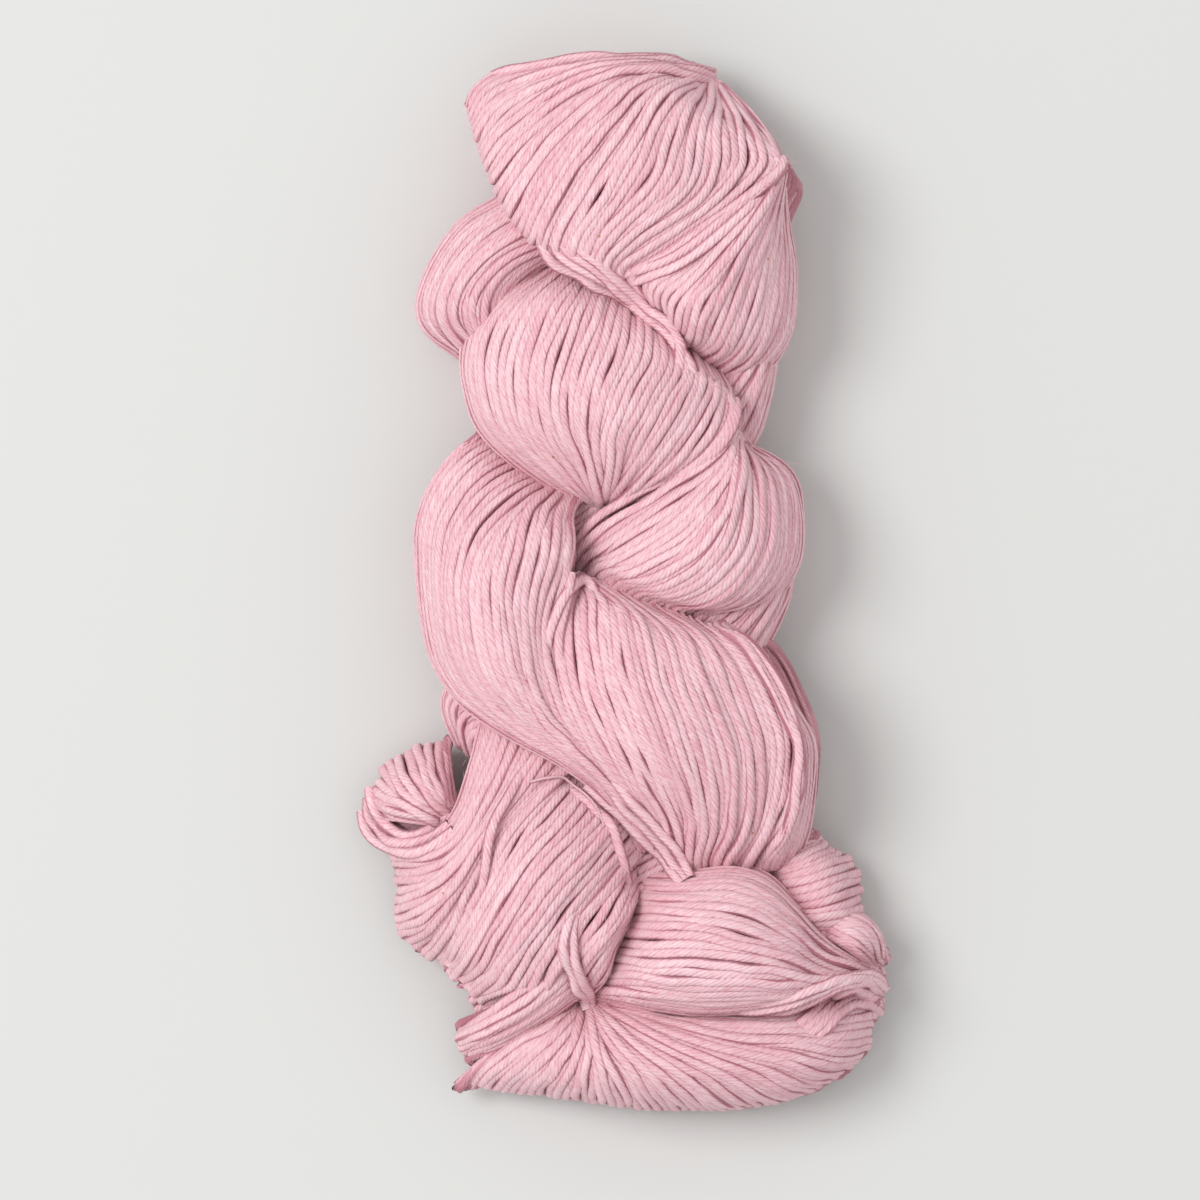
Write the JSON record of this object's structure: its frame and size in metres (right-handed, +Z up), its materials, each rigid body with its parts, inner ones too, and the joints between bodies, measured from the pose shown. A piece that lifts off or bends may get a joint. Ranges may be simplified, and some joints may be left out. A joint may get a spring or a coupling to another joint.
{
  "type": "hank of yarn",
  "caption": "Twisted hank of pink cotton linen yarn lying flat: a skein of plied strands doubled and twisted into rope-like lobes.",
  "frame": {"origin": "on the resting plane, under the middle of the hank's outline", "axes": "+X across the hank, +Y along the hank towards its folded top, +Z up"},
  "size_m": [0.1322, 0.2652, 0.0474],
  "materials": {
    "yarn": "matte plied cotton and linen with fine fuzz"
  },
  "bodies": {
    "root": {"hank": "yarn"}
  },
  "joints": []
}
